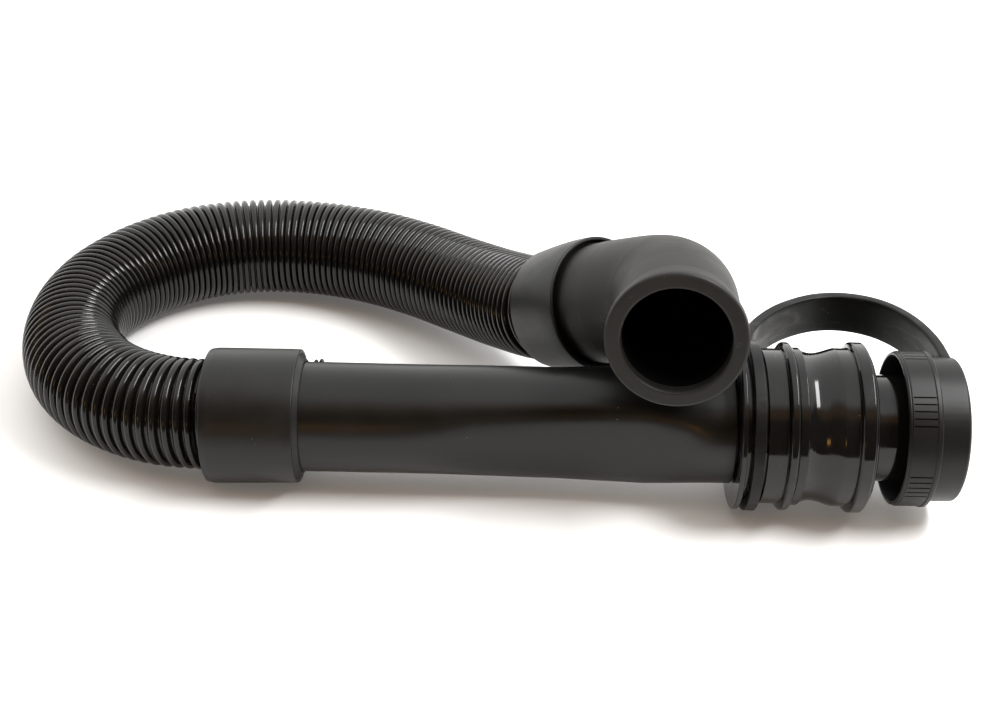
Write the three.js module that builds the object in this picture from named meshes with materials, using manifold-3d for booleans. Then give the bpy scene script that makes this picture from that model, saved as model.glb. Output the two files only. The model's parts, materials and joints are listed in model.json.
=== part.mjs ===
// Drain hose with a squeeze tube, a capped outlet and a rubber elbow.
//
// Millimetres, +Z up. The straight arm (cuff, squeeze tube, outlet, cap) lies along +X, the
// corrugated hose turns back behind it in a U, and the elbow at its far end rests on the tube.
// Everything is first placed with X = 0 near the middle of the tube, and then moved so that the
// origin is the middle of the bounding box, on the floor.

import * as THREE from 'three';
import { mergeVertices } from 'three/addons/utils/BufferGeometryUtils.js';
import Module from 'manifold-3d';

const wasm = await Module();
wasm.setup();

// ---------------------------------------------------------------- driving dimensions

const GAP = 0.3;                    // clearance between pieces that touch

const HOSE_RADIUS = 23.6;           // over the ribs
const HOSE_BORE = 19.05;            // 1.5 inch bore
const FERRULE_WALL = 1.4;           // threaded sleeve on each end of the hose
const FERRULE_LENGTH = 16;
const SLEEVED_RADIUS = HOSE_RADIUS + FERRULE_WALL + 3 * GAP;    // bore that takes hose and sleeve

const CUFF_START = -122;
const CUFF_LENGTH = 38.5;
const CUFF_RADIUS = 28.8;
const CUFF_EDGE = 1;                // chamfer on both cuffs
const STOP_WIDTH = 4;               // inner shoulder between the hose's end and the tube's

const TUBE_RADIUS = 23.3;
const TUBE_WALL = 3;
const TUBE_END = 98.6;
const TUBE_END_RADIUS = 24.7;       // the soft tube is stretched over the outlet's shank
const SWELL_START = 30;
const SHANK_START = 80;

const OUTLET_BORE = 19;
const OUTLET_RADIUS = 32.8;
const OUTLET_FACE = 154.5;
const FLANGE_START = 99.3;
const FLANGE_WIDTH = 2.2;
const FLANGE_RADIUS = 35.5;
const FIRST_BEAD = 120.4;
const WAIST_START = 126.3;
const WAIST_END = 141;
const WAIST_DEPTH = 1.6;
const END_BEAD = 150.2;
const NIPPLE_RADIUS = 22.5;
const NIPPLE_END = 175;

const RING_START = 104.1;           // neck ring of the tether, in the outlet's groove
const RING_WIDTH = 4.6;
const RING_RADIUS = 36;
const RING_BORE = 31.3;
const STRAP_WIDTH = 17;
const STRAP_THICKNESS = 4.4;
const STRAP_HEIGHT = 19.5;          // middle of the band above the arm's axis

const CAP_START = 166.3;            // the cap hangs part of the way on the nipple
const CAP_LENGTH = 26.1;
const CAP_WALL = 3;
const CAP_BARREL_RADIUS = 30.1;
const CAP_SOCKET = 23.3;            // bore that closes over the nipple
const CAP_GRIP_RADIUS = 32.7;
const CAP_GRIP_LENGTH = 13.7;
const GRIP_RIM_WIDTH = 2;
const GRIP_GROUPS = 6;
const GRIP_RIDGES = 5;
const GRIP_PITCH = THREE.MathUtils.degToRad(4.9);
const GASKET_THICKNESS = 2;

const REAR_CUFF_RADIUS = 26.8;
const REAR_RIM_RADIUS = 29.7;
const ELBOW_RADIUS = 26.3;
const ELBOW_BORE = 21.9;
const ELBOW_RIM_PULL = 44;          // how far each end's direction reaches into the bend
const ELBOW_MOUTH_PULL = 53;
const SPIGOT_RADIUS = 26;
const SPIGOT_LENGTH = 13;
const LIP_RADIUS = 28.2;
const LIP_LENGTH = 6;

// The arm lies on the front cuff's outer edge and on the strap ring.
const TILT = Math.atan((RING_RADIUS - CUFF_RADIUS) / (RING_START - CUFF_START));
const ARM_HEIGHT = CUFF_RADIUS * Math.cos(TILT) - CUFF_START * Math.sin(TILT);

// The rear cuff runs from the hose to its rim, and the elbow from the rim to its mouth.
const REAR_CUFF_START = new THREE.Vector3(24.35, 66, 50.6);
const REAR_RIM = new THREE.Vector3(43.65, 46.7, 65.3);
const REAR_AXIS = REAR_RIM.clone().sub(REAR_CUFF_START).normalize();
const MOUTH = new THREE.Vector3(67.8, -30.2, 93.8);
const MOUTH_TURN = THREE.MathUtils.degToRad(-96.4);
const MOUTH_RISE = THREE.MathUtils.degToRad(7.7);

// The hose's middle line, from the front cuff's edge to just before the rear cuff.
const HOSE_ROUTE = [
  [-122, 0, 28.8], [-143, 3, 27.8], [-163, 12, 26.7], [-179, 26, 25.3], [-190, 43, 24.1],
  [-196.5, 63, 23.8], [-198, 87, 23.7], [-192, 112, 23.7], [-177.5, 134.5, 23.7],
  [-155, 151.5, 24.2], [-128, 160.5, 24.5], [-98, 161, 24.8], [-69, 153.5, 25.5], [-43, 139, 27.3],
  [-20, 119.5, 30.6], [1.5, 95.5, 37.2],
];
const REAR_LEAD = 6;                // the hose is already in line this far before the rear cuff

// The band's middle line, as seen from above: from the neck ring to the back of the cap.
const STRAP_ROUTE = [
  [106.4, 16], [106.4, 28], [109.5, 38], [115, 46.5], [122.5, 54], [131.5, 60], [141, 64],
  [150.5, 65.3], [159.5, 64], [168, 60], [175, 53.5], [180.5, 45], [184.5, 35], [187, 24.5],
  [188.3, 10],
];

const ROUND = 36;                   // sides of a turned piece
const HOSE_SIDES = 18;
const HOSE_STEPS = 48;
const ELBOW_SIDES = 24;
const ELBOW_STEPS = 14;
const STRAP_STEPS = 24;

// ---------------------------------------------------------------- materials

function material(color, roughness) {
  return new THREE.MeshStandardMaterial({ color, roughness, metalness: 0 });
}

const glossyHose = material('#17130f', 0.25);
const satinRubber = material('#1a1817', 0.45);
const glossPlastic = material('#121113', 0.12);
const softPlastic = material('#1c1b1a', 0.5);
const mattRubber = material('#23211f', 0.7);

// ---------------------------------------------------------------- solids

// A closed three.js geometry as a manifold solid with its faces pointing out.
function solid(geometry) {
  geometry.deleteAttribute('normal');
  geometry.deleteAttribute('uv');
  const welded = mergeVertices(geometry, 1e-4);
  const index = [];
  for (let i = 0; i < welded.index.count; i += 3) {
    const [a, b, c] = [0, 1, 2].map((k) => welded.index.getX(i + k));
    if (a !== b && b !== c && c !== a) index.push(a, b, c);
  }
  const vertProperties = new Float32Array(welded.attributes.position.array);
  const make = (triangles) => new wasm.Manifold(
    new wasm.Mesh({ numProp: 3, vertProperties, triVerts: new Uint32Array(triangles) }));
  const shape = make(index);
  if (shape.volume() > 0) return shape;
  const flipped = [];
  for (let i = 0; i < index.length; i += 3) flipped.push(index[i], index[i + 2], index[i + 1]);
  return make(flipped);
}

// A manifold solid back as a three.js geometry.
function geometryOf(shape) {
  const mesh = shape.getMesh();
  const geometry = new THREE.BufferGeometry();
  const positions = new Float32Array(mesh.vertProperties);
  geometry.setAttribute('position', new THREE.BufferAttribute(positions, 3));
  geometry.setIndex(new THREE.BufferAttribute(new Uint32Array(mesh.triVerts), 1));
  geometry.computeVertexNormals();
  return geometry;
}

function node(name, shape, finish) {
  const mesh = new THREE.Mesh(geometryOf(shape), finish);
  mesh.name = name;
  return mesh;
}

// A piece turned about the X axis. The profile is a list of [x, radius] that closes on itself,
// or starts and ends on the axis.
function turned(profile) {
  const points = profile.map(([x, radius]) => new THREE.Vector2(radius, x));
  const startsOnAxis = profile[0][1] === 0;
  if (!startsOnAxis) points.push(points[0].clone());
  const geometry = new THREE.LatheGeometry(points, ROUND);
  geometry.rotateZ(-Math.PI / 2);
  return solid(geometry);
}

function rod(start, end, radius) {
  return turned([[start, 0], [start, radius], [end, radius], [end, 0]]);
}

function pipe(start, end, outer, inner) {
  return turned([[start, inner], [start, outer], [end, outer], [end, inner]]);
}

// Points over a half-round bead that stands on a cylinder, from its left foot to its right foot.
function bead(middle, halfWidth, foot, crest) {
  const steps = 4;
  const points = [];
  for (let i = 0; i <= steps; i += 1) {
    const angle = Math.PI * (1 - i / steps);
    points.push([middle + halfWidth * Math.cos(angle), foot + (crest - foot) * Math.sin(angle)]);
  }
  return points;
}

// A ring-shaped section swept along a curve.
function sweptTube(curve, outer, inner, sides, steps) {
  const section = new THREE.Shape();
  section.absarc(0, 0, outer, 0, 2 * Math.PI);
  const hole = new THREE.Path();
  hole.absarc(0, 0, inner, 0, 2 * Math.PI, true);
  section.holes.push(hole);
  return solid(new THREE.ExtrudeGeometry(section, {
    extrudePath: curve, steps, curveSegments: sides / 2, bevelEnabled: false,
  }));
}

// Turns a solid made along +X so that it starts at a point and runs in a direction.
function placed(shape, start, direction) {
  const turn = new THREE.Quaternion().setFromUnitVectors(new THREE.Vector3(1, 0, 0), direction);
  const matrix = new THREE.Matrix4().compose(start, turn, new THREE.Vector3(1, 1, 1));
  return shape.transform(matrix.elements);
}

// ---------------------------------------------------------------- the straight arm

function frontCuff() {
  const end = CUFF_START + CUFF_LENGTH;
  const hoseStop = CUFF_START + FERRULE_LENGTH + CUFF_EDGE;
  const tubeStop = hoseStop + STOP_WIDTH;
  const tubeSocket = TUBE_RADIUS + GAP;
  const recessDepth = 3;
  const recessRadius = tubeSocket + 1.3;
  return turned([
    [CUFF_START, SLEEVED_RADIUS],
    [CUFF_START, CUFF_RADIUS - CUFF_EDGE],
    [CUFF_START + CUFF_EDGE, CUFF_RADIUS],
    [end - CUFF_EDGE, CUFF_RADIUS],
    [end, CUFF_RADIUS - CUFF_EDGE],
    [end, recessRadius + 1.6],
    [end - recessDepth, recessRadius],
    [end - recessDepth, tubeSocket],
    [tubeStop, tubeSocket],
    [tubeStop, HOSE_BORE],
    [hoseStop, HOSE_BORE],
    [hoseStop, SLEEVED_RADIUS],
  ]);
}

// Threaded sleeve between a cuff and the end of the hose, along +X from just after x = 0.
function ferrule() {
  const inner = HOSE_RADIUS + 2 * GAP;
  return pipe(GAP, FERRULE_LENGTH + GAP, inner + FERRULE_WALL, inner);
}

// Soft hand-squeezed tube, swollen at the end that is pushed over the outlet's shank.
function squeezeTube() {
  const start = CUFF_START + FERRULE_LENGTH + CUFF_EDGE + STOP_WIDTH + GAP;
  const swellInner = TUBE_END_RADIUS - TUBE_WALL;
  return turned([
    [start, TUBE_RADIUS - TUBE_WALL],
    [start, TUBE_RADIUS],
    [SWELL_START, TUBE_RADIUS],
    [TUBE_END, TUBE_END_RADIUS],
    [TUBE_END, swellInner],
    [SHANK_START - STOP_WIDTH, swellInner],
    [SWELL_START, TUBE_RADIUS - TUBE_WALL],
  ]);
}

// Points along the concave waist that a storage clip closes on.
function waist(startRadius, endRadius) {
  const steps = 8;
  const points = [];
  for (let i = 0; i <= steps; i += 1) {
    const t = i / steps;
    const dip = WAIST_DEPTH * Math.sin(Math.PI * t ** 0.8);
    const x = WAIST_START + t * (WAIST_END - WAIST_START);
    points.push([x, startRadius + t * (endRadius - startRadius) - dip]);
  }
  return points;
}

// One moulding: shank, flange, strap groove, two beads around a waist, and a nipple.
function outletFitting() {
  const shankRadius = TUBE_END_RADIUS - TUBE_WALL - GAP;
  const shankLead = 2;
  const flangeEnd = FLANGE_START + FLANGE_WIDTH;
  const grooveEnd = RING_START + RING_WIDTH + 1.4;
  const grooveRadius = RING_BORE - GAP;
  const shoulder = OUTLET_RADIUS + 0.5;
  const endCylinder = OUTLET_RADIUS + 0.6;
  const faceEdge = 0.6;
  return turned([
    [SHANK_START, OUTLET_BORE],
    [SHANK_START, shankRadius - 1],
    [SHANK_START + shankLead, shankRadius],
    [FLANGE_START, shankRadius],
    [FLANGE_START, FLANGE_RADIUS],
    [flangeEnd, FLANGE_RADIUS],
    [flangeEnd, grooveRadius],
    [grooveEnd, grooveRadius],
    [grooveEnd, OUTLET_RADIUS],
    ...bead(FIRST_BEAD, 2.1, OUTLET_RADIUS, FLANGE_RADIUS),
    [FIRST_BEAD + 2.2, shoulder],
    [WAIST_START, shoulder],
    ...waist(OUTLET_RADIUS, endCylinder),
    [WAIST_END + 0.1, endCylinder],
    ...bead(END_BEAD, 3.2, endCylinder, RING_RADIUS),
    [OUTLET_FACE - faceEdge, endCylinder],
    [OUTLET_FACE, endCylinder - faceEdge],
    [OUTLET_FACE, NIPPLE_RADIUS],
    [NIPPLE_END - 1, NIPPLE_RADIUS],
    [NIPPLE_END, NIPPLE_RADIUS - 1],
    [NIPPLE_END, OUTLET_BORE],
  ]);
}

function strapRing() {
  return pipe(RING_START, RING_START + RING_WIDTH, RING_RADIUS, RING_BORE);
}

// A band on edge that runs behind the outlet and stops just short of the ring and of the cap.
function strapBand() {
  const curve = new THREE.CatmullRomCurve3(STRAP_ROUTE.map(([x, y]) => new THREE.Vector3(x, y, 0)));
  const outline = [];
  for (const side of [1, -1]) {
    for (let i = 0; i <= STRAP_STEPS; i += 1) {
      const t = side > 0 ? i / STRAP_STEPS : 1 - i / STRAP_STEPS;
      const point = curve.getPointAt(t);
      const along = curve.getTangentAt(t);
      const offset = (side * STRAP_THICKNESS) / 2;
      outline.push(new THREE.Vector2(point.x - along.y * offset, point.y + along.x * offset));
    }
  }
  const band = new THREE.ExtrudeGeometry(new THREE.Shape(outline), {
    depth: STRAP_WIDTH, bevelEnabled: false,
  });
  band.translate(0, 0, STRAP_HEIGHT - STRAP_WIDTH / 2);
  const capEnd = CAP_START + CAP_LENGTH;
  const ringSide = rod(RING_START - RING_WIDTH, OUTLET_FACE, RING_RADIUS + GAP);
  const capSide = rod(OUTLET_FACE, capEnd + RING_WIDTH, CAP_BARREL_RADIUS + GAP);
  return solid(band).subtract(ringSide).subtract(capSide);
}

// Grip ring with an open mouth, then a plain barrel with a rounded edge and a small gate mark.
function outletCap() {
  const end = CAP_START + CAP_LENGTH;
  const gripEnd = CAP_START + CAP_GRIP_LENGTH;
  const rimStart = gripEnd - GRIP_RIM_WIDTH;
  const rimRadius = CAP_GRIP_RADIUS + 0.4;
  const mouthBore = CAP_GRIP_RADIUS - CAP_WALL;
  const socketStart = gripEnd - CAP_WALL;
  const floor = end - CAP_WALL;
  const edge = 1.6;
  const gate = 0.8;
  const body = turned([
    [floor, 0],
    [floor, CAP_SOCKET],
    [socketStart, CAP_SOCKET],
    [socketStart, mouthBore],
    [CAP_START, mouthBore],
    [CAP_START, CAP_GRIP_RADIUS - gate],
    [CAP_START + 1, CAP_GRIP_RADIUS],
    [rimStart, CAP_GRIP_RADIUS],
    [rimStart, rimRadius],
    [gripEnd, rimRadius],
    [gripEnd, CAP_BARREL_RADIUS],
    [end - edge, CAP_BARREL_RADIUS],
    [end, CAP_BARREL_RADIUS - edge],
    [end, 2 * gate],
    [end + gate, 0],
  ]);
  return gripRidges().reduce((cap, ridge) => cap.add(ridge), body);
}

function gripRidges() {
  const length = CAP_GRIP_LENGTH - 2 * GRIP_RIM_WIDTH;
  const [width, height] = [1.2, 1.4];
  const start = CAP_START + 1.6;
  const ridges = [];
  for (let group = 0; group < GRIP_GROUPS; group += 1) {
    for (let ridge = 0; ridge < GRIP_RIDGES; ridge += 1) {
      const groupAngle = (group * 2 * Math.PI) / GRIP_GROUPS;
      const bar = new THREE.BoxGeometry(length, width, height);
      bar.translate(start + length / 2, 0, CAP_GRIP_RADIUS - 0.2);
      bar.rotateX(groupAngle + (ridge - (GRIP_RIDGES - 1) / 2) * GRIP_PITCH);
      ridges.push(solid(bar));
    }
  }
  return ridges;
}

function capGasket() {
  const floor = CAP_START + CAP_LENGTH - CAP_WALL;
  return rod(floor - GASKET_THICKNESS, floor - GAP, CAP_SOCKET - GAP);
}

// ---------------------------------------------------------------- hose, rear cuff and elbow

// The hose reaches into both cuffs by the length of its sleeves.
function hoseCurve() {
  const points = HOSE_ROUTE.map(([x, y, z]) => new THREE.Vector3(x, y, z));
  const armAxis = new THREE.Vector3(Math.cos(TILT), 0, Math.sin(TILT));
  points.unshift(points[0].clone().addScaledVector(armAxis, FERRULE_LENGTH));
  for (const reach of [-REAR_LEAD, 0, FERRULE_LENGTH]) {
    points.push(REAR_CUFF_START.clone().addScaledVector(REAR_AXIS, reach));
  }
  return new THREE.CatmullRomCurve3(points, false, 'centripetal');
}

function corrugatedHose() {
  return sweptTube(hoseCurve(), HOSE_RADIUS, HOSE_BORE, HOSE_SIDES, HOSE_STEPS);
}

// Bell-shaped rubber cuff, narrow on the hose and flared by the elbow's spigot.
function rearCuff() {
  const length = REAR_RIM.distanceTo(REAR_CUFF_START);
  const hoseStop = FERRULE_LENGTH + CUFF_EDGE;
  const spigotStop = length - SPIGOT_LENGTH - CUFF_EDGE;
  const spigotSocket = SPIGOT_RADIUS + GAP;
  const profile = [[0, SLEEVED_RADIUS]];
  const flareSteps = 8;
  for (let i = 0; i <= flareSteps; i += 1) {
    const t = i / flareSteps;
    const flare = (REAR_RIM_RADIUS - REAR_CUFF_RADIUS) * (1 - (1 - t) ** 1.6);
    profile.push([t * (length - CUFF_EDGE), REAR_CUFF_RADIUS + flare]);
  }
  profile.push(
    [length, REAR_RIM_RADIUS - CUFF_EDGE],
    [length, spigotSocket],
    [spigotStop, spigotSocket],
    [spigotStop, HOSE_BORE],
    [hoseStop, HOSE_BORE],
    [hoseStop, SLEEVED_RADIUS],
  );
  return placed(turned(profile), REAR_CUFF_START, REAR_AXIS);
}

// Thick rubber elbow: a spigot in the rear cuff, one smooth bend and a lip at the mouth.
function elbow() {
  const out = new THREE.Vector3(
    Math.cos(MOUTH_RISE) * Math.cos(MOUTH_TURN),
    Math.cos(MOUTH_RISE) * Math.sin(MOUTH_TURN),
    Math.sin(MOUTH_RISE));
  const bendStart = REAR_RIM.clone().addScaledVector(REAR_AXIS, GAP);
  const bendEnd = MOUTH.clone().addScaledVector(out, -LIP_LENGTH / 2);
  const curve = new THREE.CubicBezierCurve3(
    bendStart, bendStart.clone().addScaledVector(REAR_AXIS, ELBOW_RIM_PULL),
    bendEnd.clone().addScaledVector(out, -ELBOW_MOUTH_PULL), bendEnd);
  const bend = sweptTube(curve, ELBOW_RADIUS, ELBOW_BORE, ELBOW_SIDES, ELBOW_STEPS);
  const overlap = 2;
  const spigot = placed(pipe(-SPIGOT_LENGTH, overlap, SPIGOT_RADIUS, ELBOW_BORE), REAR_RIM, REAR_AXIS);
  const lip = placed(pipe(-LIP_LENGTH, 0, LIP_RADIUS, ELBOW_BORE), MOUTH, out);
  return bend.add(spigot).add(lip);
}

// ---------------------------------------------------------------- assembly

const arm = new THREE.Group();
arm.position.z = ARM_HEIGHT;
arm.rotation.y = -TILT;
arm.add(
  node('front_cuff', frontCuff(), satinRubber),
  node('front_hose_ferrule', ferrule().translate([CUFF_START, 0, 0]), softPlastic),
  node('squeeze_tube', squeezeTube(), satinRubber),
  node('outlet_fitting', outletFitting(), glossPlastic),
  node('strap_ring', strapRing(), softPlastic),
  node('strap_band', strapBand(), softPlastic),
  node('outlet_cap', outletCap(), softPlastic),
  node('cap_gasket', capGasket(), mattRubber),
);

const drainHose = new THREE.Group();
drainHose.add(
  arm,
  node('corrugated_hose', corrugatedHose(), glossyHose),
  node('rear_hose_ferrule', placed(ferrule(), REAR_CUFF_START, REAR_AXIS), softPlastic),
  node('rear_cuff', rearCuff(), satinRubber),
  node('elbow', elbow(), mattRubber),
);

drainHose.updateMatrixWorld(true);
const box = new THREE.Box3().setFromObject(drainHose, true);
const middle = box.getCenter(new THREE.Vector3());
drainHose.position.set(-middle.x, -middle.y, -box.min.z);
drainHose.updateMatrixWorld(true);

export default drainHose;
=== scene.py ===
"""Looks of the drain hose: every piece as a fine mesh with a procedural material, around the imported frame.

Lengths are in metres in the frame's own axes. The straight arm's pieces are turned about the arm's
axis, which the frame gives as the axis of joint cap_turn; x is then the distance along the arm.
"""
import json
import math
import random

import bmesh
import bpy
import numpy as np
from mathutils import Matrix, Vector, noise


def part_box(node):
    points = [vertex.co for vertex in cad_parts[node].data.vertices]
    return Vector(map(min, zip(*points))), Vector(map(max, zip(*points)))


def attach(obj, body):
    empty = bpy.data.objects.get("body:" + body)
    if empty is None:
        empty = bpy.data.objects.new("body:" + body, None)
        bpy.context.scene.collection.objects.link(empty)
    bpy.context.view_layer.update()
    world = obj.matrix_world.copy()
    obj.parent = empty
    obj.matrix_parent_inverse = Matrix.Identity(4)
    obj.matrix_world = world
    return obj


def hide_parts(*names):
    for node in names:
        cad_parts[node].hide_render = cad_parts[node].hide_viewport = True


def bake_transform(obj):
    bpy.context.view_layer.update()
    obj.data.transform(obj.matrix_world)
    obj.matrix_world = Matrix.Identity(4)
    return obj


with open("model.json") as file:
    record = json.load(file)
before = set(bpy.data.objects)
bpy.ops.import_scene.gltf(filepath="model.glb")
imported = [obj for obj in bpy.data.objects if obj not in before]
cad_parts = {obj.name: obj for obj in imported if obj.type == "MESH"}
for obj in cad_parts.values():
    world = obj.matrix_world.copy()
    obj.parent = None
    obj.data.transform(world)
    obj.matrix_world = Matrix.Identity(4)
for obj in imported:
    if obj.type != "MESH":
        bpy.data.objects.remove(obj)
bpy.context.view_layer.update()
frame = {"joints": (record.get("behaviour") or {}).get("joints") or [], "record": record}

JOINTS = {joint["name"]: joint for joint in frame["joints"]}
RANDOM = random.Random(7)
MM = 0.001
GAP = 0.3 * MM

# ---------------------------------------------------------------- driving dimensions


def radius_of(node):
    """Outer radius of a piece that is turned about the arm's axis, which is level in Y."""
    low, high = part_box(node)
    return (high.y - low.y) / 2


HOSE_RADIUS = 23.6 * MM
HOSE_BORE = 19.05 * MM
RIB_PITCH_FRONT = 4.35 * MM
RIB_PITCH_BACK = 3.85 * MM
RIB_WIDTH = 3.15 * MM
CREST_DROP = 1.5 * MM
GROOVE_DEPTH = 2.9 * MM
BACK_FULLNESS = 0.8 * MM
INNER_FLATTENING = 3.0 * MM
HOSE_SIDES = 72
CUFF_RADIUS = radius_of("front_cuff")
CUFF_START = -122 * MM
CUFF_LENGTH = 38.5 * MM
FERRULE_LENGTH = 16 * MM
TUBE_RADIUS = 23.3 * MM
TUBE_WALL = 3 * MM
TUBE_END = 98.6 * MM
TUBE_END_RADIUS = radius_of("squeeze_tube")
OUTLET_RADIUS = 32.8 * MM
OUTLET_BORE = 19 * MM
OUTLET_FACE = 154.5 * MM
FLANGE_START = 99.3 * MM
FLANGE_RADIUS = 35.5 * MM
RING_START = 104.1 * MM
RING_WIDTH = 4.6 * MM
RING_RADIUS = radius_of("strap_ring")
NIPPLE_RADIUS = 22.5 * MM
NIPPLE_END = 175 * MM
CAP_START = 166.3 * MM
CAP_LENGTH = 26.1 * MM
CAP_BARREL_RADIUS = 30.1 * MM
CAP_GRIP_RADIUS = 32.7 * MM
CAP_GRIP_LENGTH = 13.7 * MM
CAP_SOCKET = 23.3 * MM
CAP_WALL = 3 * MM
ELBOW_RADIUS = 26.3 * MM
ELBOW_BORE = 21.9 * MM
LIP_RADIUS = 28.2 * MM
SPIGOT_RADIUS = 26.0 * MM
SPIGOT_LENGTH = 13 * MM
REAR_CUFF_RADIUS = 26.8 * MM
REAR_RIM_RADIUS = 29.7 * MM
STRAP_WIDTH = 17 * MM
STRAP_THICKNESS = 4.4 * MM
STRAP_HEIGHT = 19.5 * MM
CUFF_SOCKET_RADIUS = 25.9 * MM

# ---------------------------------------------------------------- frames of reference

ARM_AXIS = Vector(JOINTS["cap_turn"]["axis"]).normalized()
RING_MIDDLE = RING_START + RING_WIDTH / 2
ARM_ORIGIN = Vector(JOINTS["cap_turn"]["pos_m"]) - ARM_AXIS * RING_MIDDLE


def frame_at(origin, x_axis):
    """Matrix whose X runs along x_axis, with Y kept level."""
    x = x_axis.normalized()
    y = Vector((0, 0, 1)).cross(x).normalized()
    z = x.cross(y)
    rotation = Matrix((x, y, z)).transposed()
    return Matrix.Translation(origin) @ rotation.to_4x4()


ARM = frame_at(ARM_ORIGIN, ARM_AXIS)
REAR_RIM = Vector(JOINTS["elbow_swivel"]["pos_m"])
REAR_AXIS = -Vector(JOINTS["elbow_swivel"]["axis"]).normalized()
REAR_CUFF_LENGTH = 31.0 * MM
REAR_CUFF_START = REAR_RIM - REAR_AXIS * REAR_CUFF_LENGTH
MOUNTS = {mount["name"]: mount for mount in frame["record"]["mounts"]}
MOUTH_AXIS = Vector(MOUNTS["elbow_mouth_face"]["axis"]).normalized()
MOUTH_SIDE = (Vector((1, 0, 0)) - MOUTH_AXIS * MOUTH_AXIS.x).normalized()
MOUTH = Vector(MOUNTS["elbow_mouth_face"]["pos_m"]) - MOUTH_SIDE * (LIP_RADIUS + ELBOW_BORE) / 2

# part.mjs places the arm with X = 0 at ARM_ORIGIN's X and Y, and Z from the floor.
ROUTE_SHIFT = Vector((ARM_ORIGIN.x, ARM_ORIGIN.y, 0))
HOSE_ROUTE = [
    (-0.122, 0, 0.0288), (-0.143, 0.003, 0.0278), (-0.163, 0.012, 0.0267),
    (-0.179, 0.026, 0.0253), (-0.190, 0.043, 0.0241), (-0.1965, 0.063, 0.0238),
    (-0.198, 0.087, 0.0237), (-0.192, 0.112, 0.0237), (-0.1775, 0.1345, 0.0237),
    (-0.155, 0.1515, 0.0242), (-0.128, 0.1605, 0.0245), (-0.098, 0.161, 0.0248),
    (-0.069, 0.1535, 0.0255), (-0.043, 0.139, 0.0273), (-0.020, 0.1195, 0.0306),
    (0.0015, 0.0955, 0.0372),
]
REAR_LEAD = 6 * MM

# The band's middle line in the arm's frame, seen from above.
STRAP_ROUTE = [
    (0.1064, 0.016), (0.1064, 0.027), (0.1095, 0.035), (0.115, 0.0435), (0.1225, 0.052),
    (0.1315, 0.059), (0.141, 0.0637), (0.1505, 0.0653), (0.1595, 0.064), (0.168, 0.060),
    (0.175, 0.0535), (0.1805, 0.045), (0.1845, 0.035), (0.187, 0.0245), (0.1883, 0.010),
]

# ---------------------------------------------------------------- curves


def catmull_rom(points, per_span):
    """Dense points on a centripetal Catmull-Rom curve through the points."""
    points = [Vector(p) for p in points]
    ends = [points[0] * 2 - points[1], *points, points[-1] * 2 - points[-2]]
    dense = []
    for a, b, c, d in zip(ends, ends[1:], ends[2:], ends[3:]):
        t0 = 0.0
        t1 = t0 + (b - a).length ** 0.5
        t2 = t1 + (c - b).length ** 0.5
        t3 = t2 + (d - c).length ** 0.5
        for i in range(per_span):
            t = t1 + (t2 - t1) * i / per_span
            a1 = a * ((t1 - t) / (t1 - t0)) + b * ((t - t0) / (t1 - t0))
            a2 = b * ((t2 - t) / (t2 - t1)) + c * ((t - t1) / (t2 - t1))
            a3 = c * ((t3 - t) / (t3 - t2)) + d * ((t - t2) / (t3 - t2))
            b1 = a1 * ((t2 - t) / (t2 - t0)) + a2 * ((t - t0) / (t2 - t0))
            b2 = a2 * ((t3 - t) / (t3 - t1)) + a3 * ((t - t1) / (t3 - t1))
            dense.append(b1 * ((t2 - t) / (t2 - t1)) + b2 * ((t - t1) / (t2 - t1)))
    dense.append(points[-1])
    return dense


def bezier(a, b, c, d, steps):
    points = []
    for i in range(steps + 1):
        t = i / steps
        s = 1 - t
        points.append(a * s ** 3 + b * 3 * s * s * t + c * 3 * s * t * t + d * t ** 3)
    return points


class Path:
    """A polyline measured by length, with a frame carried along it without twist."""

    def __init__(self, points, up=(0, 0, 1)):
        self.points = np.array([list(p) for p in points], float)
        steps = np.linalg.norm(np.diff(self.points, axis=0), axis=1)
        self.at = np.concatenate([[0], np.cumsum(steps)])
        self.length = self.at[-1]
        tangents = np.gradient(self.points, self.at, axis=0, edge_order=1)
        self.tangents = tangents / np.linalg.norm(tangents, axis=1)[:, None]
        self.bend = np.gradient(self.tangents, self.at, axis=0)
        side = np.array(up, float)
        sides = []
        for tangent in self.tangents:
            side = side - tangent * side.dot(tangent)
            side = side / np.linalg.norm(side)
            sides.append(side)
        self.sides = np.array(sides)

    def _mix(self, table, s):
        return np.stack([np.interp(s, self.at, table[:, k]) for k in range(3)], axis=-1)

    def sample(self, s):
        """Point, tangent, up, sideways and bend vectors at the lengths s, past the ends as well."""
        inside = np.clip(s, 0, self.length)
        tangent = self._mix(self.tangents, inside)
        tangent /= np.linalg.norm(tangent, axis=-1, keepdims=True)
        up = self._mix(self.sides, inside)
        up -= tangent * (up * tangent).sum(-1, keepdims=True)
        up /= np.linalg.norm(up, axis=-1, keepdims=True)
        point = self._mix(self.points, inside) + tangent * (s - inside)[..., None]
        return point, tangent, up, np.cross(tangent, up), self._mix(self.bend, inside)


# ---------------------------------------------------------------- meshes


def new_object(name, vertices, faces, sharp_angle=50):
    mesh = bpy.data.meshes.new(name)
    mesh.from_pydata([tuple(v) for v in vertices], [], faces)
    mesh.update()
    work = bmesh.new()
    work.from_mesh(mesh)
    bmesh.ops.recalc_face_normals(work, faces=work.faces)
    work.to_mesh(mesh)
    work.free()
    mesh.shade_smooth()
    mesh.set_sharp_from_angle(angle=math.radians(sharp_angle))
    piece = bpy.data.objects.new(name, mesh)
    bpy.context.scene.collection.objects.link(piece)
    return piece


def weigh_normals(piece):
    """Keeps flat faces flat beside their rounded edges."""
    modifier = piece.modifiers.new("flat_faces", "WEIGHTED_NORMAL")
    modifier.keep_sharp = True
    modifier.weight = 60
    return piece


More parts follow.
